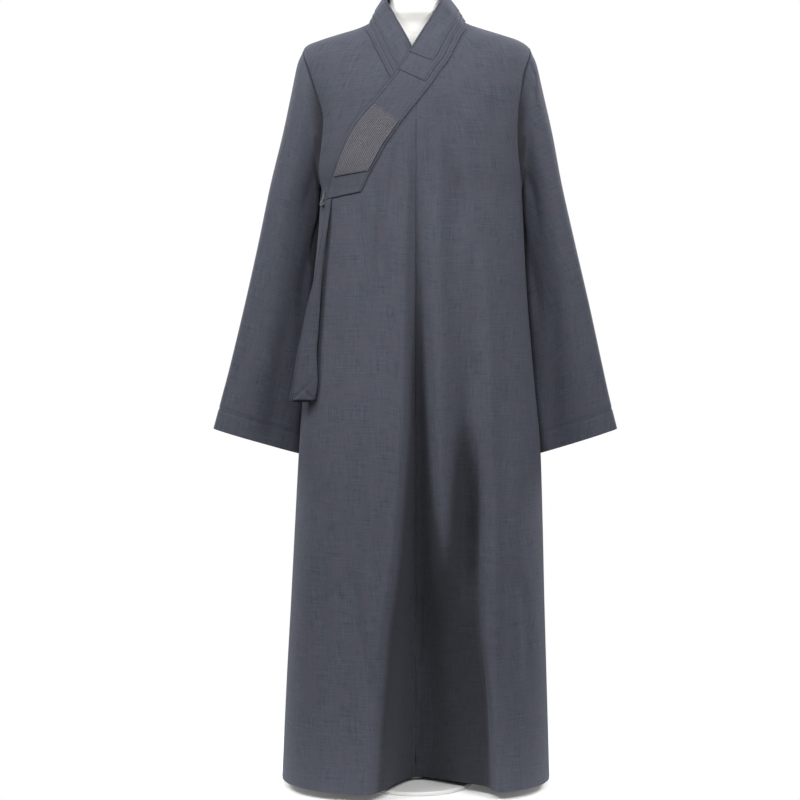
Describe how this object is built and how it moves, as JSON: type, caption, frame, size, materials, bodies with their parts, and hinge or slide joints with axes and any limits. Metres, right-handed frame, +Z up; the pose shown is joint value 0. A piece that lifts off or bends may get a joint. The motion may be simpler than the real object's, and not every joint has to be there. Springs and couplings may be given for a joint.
{
  "type": "buddhist monk robe on a limbless dress form",
  "caption": "Long crossed-collar robe with wide hanging sleeves, quilted collar band, knot and side ties, on a limbless dress form with a disc stand.",
  "frame": {"origin": "centre of the underside of the stand's base disc, on the pole's axis", "axes": "+Z up along the pole, -Y towards the garment's front, +X towards the wearer's left"},
  "size_m": [0.724, 0.266, 1.486],
  "materials": {
    "robe_cloth": "matt slubbed plain weave, slate grey",
    "robe_cord": "matt rolled cloth cord and thread, slate grey",
    "form_cover": "matt off-white jersey cover",
    "stand_metal": "satin white paint"
  },
  "bodies": {
    "root": {"front_left": "robe_cloth", "front_overlap": "robe_cloth", "front_right_under": "robe_cloth", "back_left": "robe_cloth", "back_right": "robe_cloth", "sleeve_left": "robe_cloth", "sleeve_right": "robe_cloth", "collar_left": "robe_cloth", "collar_right": "robe_cloth", "collar_strip_2_left": "robe_cloth", "collar_strip_3_left": "robe_cloth", "collar_strip_2_right": "robe_cloth", "collar_strip_3_right": "robe_cloth", "collar_quilted_patch": "robe_cloth", "tie_outer": "robe_cloth", "tie_inner": "robe_cloth", "knot_button": "robe_cord", "knot_loop": "robe_cord", "form_torso": "form_cover", "stand_pole": "stand_metal", "stand_base": "stand_metal"}
  },
  "joints": []
}
